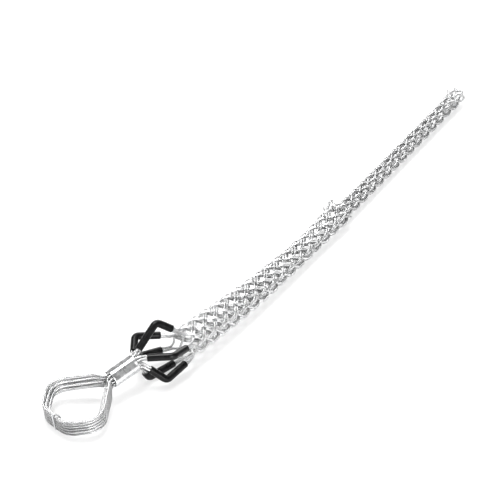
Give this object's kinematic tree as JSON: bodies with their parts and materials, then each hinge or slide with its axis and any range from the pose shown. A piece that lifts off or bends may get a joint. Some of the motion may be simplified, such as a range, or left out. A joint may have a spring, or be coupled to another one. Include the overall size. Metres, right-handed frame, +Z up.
{
  "type": "cable pulling grip",
  "caption": "Wire mesh cable pulling grip with a rope eye, pressed ferrule, sleeved basket and an open weave that steps down to a narrow tail.",
  "frame": {"origin": "under the middle of the object's box, on the surface that it lies on", "axes": "+X along the tail, from the eye's end to the open mouth; +Z up; the head is turned towards +Y"},
  "size_m": [0.594, 0.086, 0.0435],
  "materials": {
    "wire_rope": "bright galvanised steel wire rope with its lay showing",
    "binding_wire": "fine bright steel wire",
    "ferrule": "pressed metal, satin, with faint press marks",
    "sleeve": "black plastic tube with a soft sheen"
  },
  "bodies": {
    "root": {"rope_01": "wire_rope", "rope_02": "wire_rope", "rope_03": "wire_rope", "rope_04": "wire_rope", "rope_05": "wire_rope", "rope_06": "wire_rope", "rope_07": "wire_rope", "rope_08": "wire_rope", "rope_09": "wire_rope", "rope_10": "wire_rope", "rope_11": "wire_rope", "rope_12": "wire_rope", "ferrule": "ferrule", "sleeve_upper_far": "sleeve", "sleeve_far": "sleeve", "sleeve_lower_far": "sleeve", "sleeve_lower_near": "sleeve", "sleeve_near": "sleeve", "sleeve_upper_near": "sleeve", "eye_binding": "binding_wire", "double_weave": "wire_rope", "single_weave": "wire_rope"}
  },
  "joints": []
}
